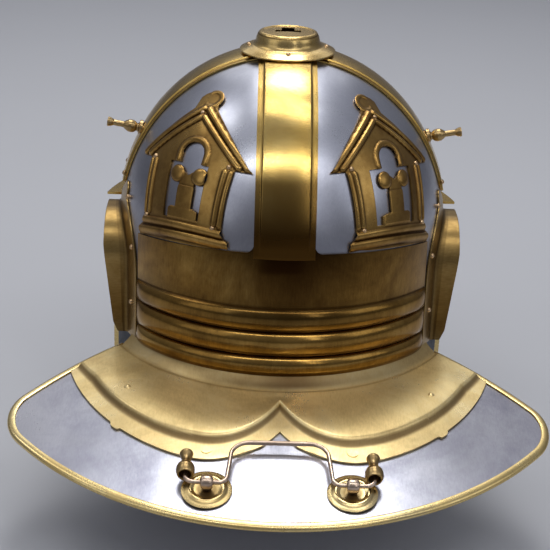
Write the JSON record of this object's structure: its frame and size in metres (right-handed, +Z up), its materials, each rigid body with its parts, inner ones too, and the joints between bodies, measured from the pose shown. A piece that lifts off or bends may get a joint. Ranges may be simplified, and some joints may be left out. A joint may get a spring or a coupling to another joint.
{
  "type": "legionary helmet",
  "caption": "Steel bowl helmet with crossed brass bands, pierced shrine plaques, ribbed nape, broad neck guard with carrying handle and hinged cheek guards.",
  "frame": {"origin": "centre of the head opening at the level of the brow rim, where the wearer's head holds the helmet", "axes": "+Y towards the wearer's front, +X towards the wearer's right, +Z up towards the crown"},
  "size_m": [0.3204, 0.3731, 0.2691],
  "materials": {
    "steel": "polished steel plate with faint brushing and light storage marks",
    "cheek_steel": "darker, duller steel plate",
    "pin_steel": "plain steel wire",
    "bright_brass": "polished sheet brass with warm tarnish",
    "aged_brass": "aged sheet brass with brown patina in the hollows",
    "turned_brass": "turned and drawn brass, rubbed bright on the high places",
    "rivet_brass": "domed brass rivet heads",
    "leather": "vegetable tanned leather, suede side out"
  },
  "bodies": {
    "root": {"bowl": "steel", "neck_guard": "steel", "guard_binding": "bright_brass", "neck_plate": "bright_brass", "nape_band": "aged_brass", "fore_aft_band": "bright_brass", "cross_band_left": "bright_brass", "cross_band_right": "bright_brass", "brow_band": "bright_brass", "brow_guard": "bright_brass", "crest_boss": "bright_brass", "plaque_rear_left": "aged_brass", "plaque_rear_right": "aged_brass", "plaque_front_left": "aged_brass", "plaque_front_right": "aged_brass", "ear_guard_left": "aged_brass", "ear_guard_right": "aged_brass", "plaque_rivets": "rivet_brass", "ear_guard_rivets": "rivet_brass", "band_rivets": "rivet_brass", "neck_plate_rivets": "rivet_brass", "brow_guard_rivets": "rivet_brass", "boss_rivets": "rivet_brass", "crest_stud_left": "turned_brass", "crest_stud_right": "turned_brass", "handle_washer_left": "bright_brass", "handle_washer_right": "bright_brass", "split_pin_left": "turned_brass", "split_pin_right": "turned_brass", "liner": "leather", "liner_crown_pad": "leather", "hinge_leaf_left": "bright_brass", "hinge_leaf_right": "bright_brass", "hinge_rivets_left": "rivet_brass", "hinge_rivets_right": "rivet_brass"},
    "handle": {"handle_bar": "turned_brass", "handle_finial_left": "turned_brass", "handle_finial_right": "turned_brass"},
    "cheek_left": {"cheek_plate_left": "cheek_steel", "cheek_binding_left": "bright_brass", "cheek_hinge_left": "bright_brass", "cheek_pin_left": "pin_steel", "cheek_rivets_left": "rivet_brass"},
    "cheek_right": {"cheek_plate_right": "cheek_steel", "cheek_binding_right": "bright_brass", "cheek_hinge_right": "bright_brass", "cheek_pin_right": "pin_steel", "cheek_rivets_right": "rivet_brass"}
  },
  "joints": [
    {"name": "handle_swing", "type": "hinge", "parent": "root", "child": "handle", "pos_m": [0, -0.21125, -0.06052], "axis": [1, 0, 0], "range_deg": [0, 150]},
    {"name": "cheek_swing_left", "type": "hinge", "parent": "root", "child": "cheek_left", "pos_m": [-0.10009, 0.045, -0.0036], "axis": [0.3362, 0.9418, 0], "range_deg": [-8, 75]},
    {"name": "cheek_swing_right", "type": "hinge", "parent": "root", "child": "cheek_right", "pos_m": [0.10009, 0.045, -0.0036], "axis": [0.3362, -0.9418, 0], "range_deg": [-8, 75]}
  ]
}
